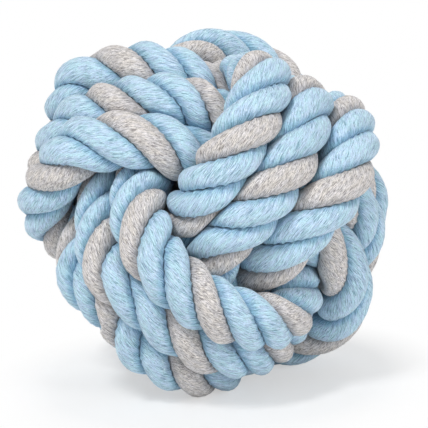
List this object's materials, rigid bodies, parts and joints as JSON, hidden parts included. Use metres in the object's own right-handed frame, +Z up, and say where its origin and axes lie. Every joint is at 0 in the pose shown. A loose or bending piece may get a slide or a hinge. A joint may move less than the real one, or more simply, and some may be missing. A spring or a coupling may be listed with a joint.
{
  "type": "rope ball dog toy",
  "caption": "Soft ball of thick twisted cotton rope in light blue and grey, tied as a monkey's fist, for a dog to fetch, chew and tug",
  "frame": {"origin": "on the ground under the middle of the ball, which stands on the flattened undersides of the three ropes round its lowest corner", "axes": "+Z up, along the corner of the ball where three wraps meet; the pictured side faces -Y; +X to the right seen from there"},
  "size_m": [0.0745, 0.0765, 0.0708],
  "materials": {
    "blue_cotton": "soft matt twisted cotton, light blue with pale flecks",
    "grey_cotton": "soft matt twisted cotton, light grey melange",
    "core_cotton": "matt packed cotton waste"
  },
  "bodies": {
    "root": {"first_wrap": "blue_cotton", "second_wrap": "blue_cotton", "third_wrap": "grey_cotton", "packed_core": "core_cotton"}
  },
  "joints": []
}
